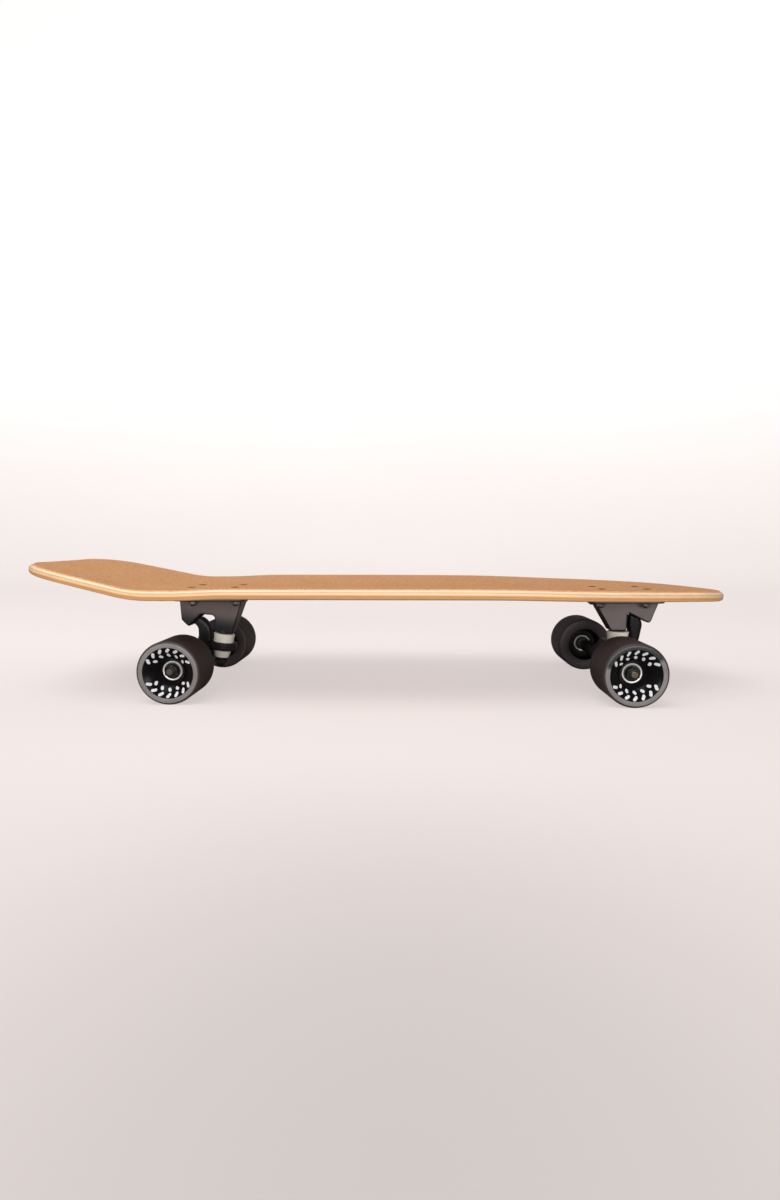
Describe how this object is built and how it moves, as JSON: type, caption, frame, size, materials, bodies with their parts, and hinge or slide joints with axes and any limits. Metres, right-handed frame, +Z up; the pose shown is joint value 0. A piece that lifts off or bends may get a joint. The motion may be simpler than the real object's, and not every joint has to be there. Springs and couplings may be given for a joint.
{
  "type": "surfskate",
  "caption": "Wide kicktail surfskate deck on two different tall cast trucks that steer about tilted pivots, with broad soft urethane wheels.",
  "frame": {"origin": "on the floor under the middle of the deck, with all four wheels standing on it", "axes": "+X towards the nose, +Y towards the left side, +Z up"},
  "size_m": [0.8253, 0.2688, 0.1529],
  "materials": {
    "wood": "clear satin lacquer over maple plies, with warm darker plies low in the edge",
    "grip": "tan grit sheet, fine speckle, no shine",
    "casting": "satin black powder coat on a cast alloy",
    "bushing": "cream urethane, matt",
    "cup": "black urethane",
    "steel": "zinc plated steel",
    "black_steel": "black oxide steel",
    "tyre": "dark brown black urethane, ground satin tread, glossy printed face",
    "core": "black moulded hub",
    "shield": "bright outer race, darker shield"
  },
  "bodies": {
    "board": {"deck": "wood", "grip_sheet": "grip", "rear_tail_right_bolt": "black_steel", "rear_tail_right_nut": "steel", "rear_tail_left_bolt": "black_steel", "rear_tail_left_nut": "steel", "rear_nose_right_bolt": "black_steel", "rear_nose_right_nut": "steel", "rear_nose_left_bolt": "black_steel", "rear_nose_left_nut": "steel", "front_tail_right_bolt": "black_steel", "front_tail_right_nut": "steel", "front_tail_left_bolt": "black_steel", "front_tail_left_nut": "steel", "front_nose_right_bolt": "black_steel", "front_nose_right_nut": "steel", "front_nose_left_bolt": "black_steel", "front_nose_left_nut": "steel", "rear_baseplate": "casting", "rear_pivot_cup": "cup", "rear_kingpin": "black_steel", "rear_kingpin_nut": "black_steel", "rear_upper_bushing": "bushing", "rear_lower_bushing": "bushing", "rear_lower_washer": "black_steel", "front_baseplate": "casting", "front_pivot_cup": "cup", "front_kingpin": "black_steel", "front_kingpin_nut": "black_steel", "front_upper_bushing": "bushing", "front_lower_bushing": "bushing", "front_lower_washer": "black_steel"},
    "rear_hanger_body": {"rear_hanger": "casting", "rear_axle": "steel", "rear_left_bearing_sleeve": "steel", "rear_left_axle_nut": "steel", "rear_right_bearing_sleeve": "steel", "rear_right_axle_nut": "steel"},
    "rear_left_wheel": {"rear_left_tyre": "tyre", "rear_left_core": "core", "rear_left_outer_bearing": "shield", "rear_left_inner_bearing": "shield"},
    "rear_right_wheel": {"rear_right_tyre": "tyre", "rear_right_core": "core", "rear_right_outer_bearing": "shield", "rear_right_inner_bearing": "shield"},
    "front_hanger_body": {"front_hanger": "casting", "front_axle": "steel", "front_left_bearing_sleeve": "steel", "front_left_axle_nut": "steel", "front_right_bearing_sleeve": "steel", "front_right_axle_nut": "steel"},
    "front_left_wheel": {"front_left_tyre": "tyre", "front_left_core": "core", "front_left_outer_bearing": "shield", "front_left_inner_bearing": "shield"},
    "front_right_wheel": {"front_right_tyre": "tyre", "front_right_core": "core", "front_right_outer_bearing": "shield", "front_right_inner_bearing": "shield"}
  },
  "joints": [
    {"name": "rear_steering", "type": "hinge", "parent": "board", "child": "rear_hanger_body", "pos_m": [-0.2069, 0, 0.045], "axis": [-0.6845, 0, 0.729], "range_deg": [-17, 17], "stiffness_Nm_per_rad": 35, "deforming": ["rear_upper_bushing", "rear_lower_bushing"]},
    {"name": "rear_left_wheel_spin", "type": "hinge", "parent": "rear_hanger_body", "child": "rear_left_wheel", "pos_m": [-0.2303, 0.0992, 0.035], "axis": [0, 1, 0], "continuous": true},
    {"name": "rear_right_wheel_spin", "type": "hinge", "parent": "rear_hanger_body", "child": "rear_right_wheel", "pos_m": [-0.2303, -0.0992, 0.035], "axis": [0, 1, 0], "continuous": true},
    {"name": "front_steering", "type": "hinge", "parent": "board", "child": "front_hanger_body", "pos_m": [0.2912, 0, 0.0491], "axis": [0.454, 0, 0.891], "range_deg": [-20, 20], "stiffness_Nm_per_rad": 35, "deforming": ["front_upper_bushing", "front_lower_bushing"]},
    {"name": "front_left_wheel_spin", "type": "hinge", "parent": "front_hanger_body", "child": "front_left_wheel", "pos_m": [0.2715, 0.0992, 0.035], "axis": [0, 1, 0], "continuous": true},
    {"name": "front_right_wheel_spin", "type": "hinge", "parent": "front_hanger_body", "child": "front_right_wheel", "pos_m": [0.2715, -0.0992, 0.035], "axis": [0, 1, 0], "continuous": true}
  ]
}
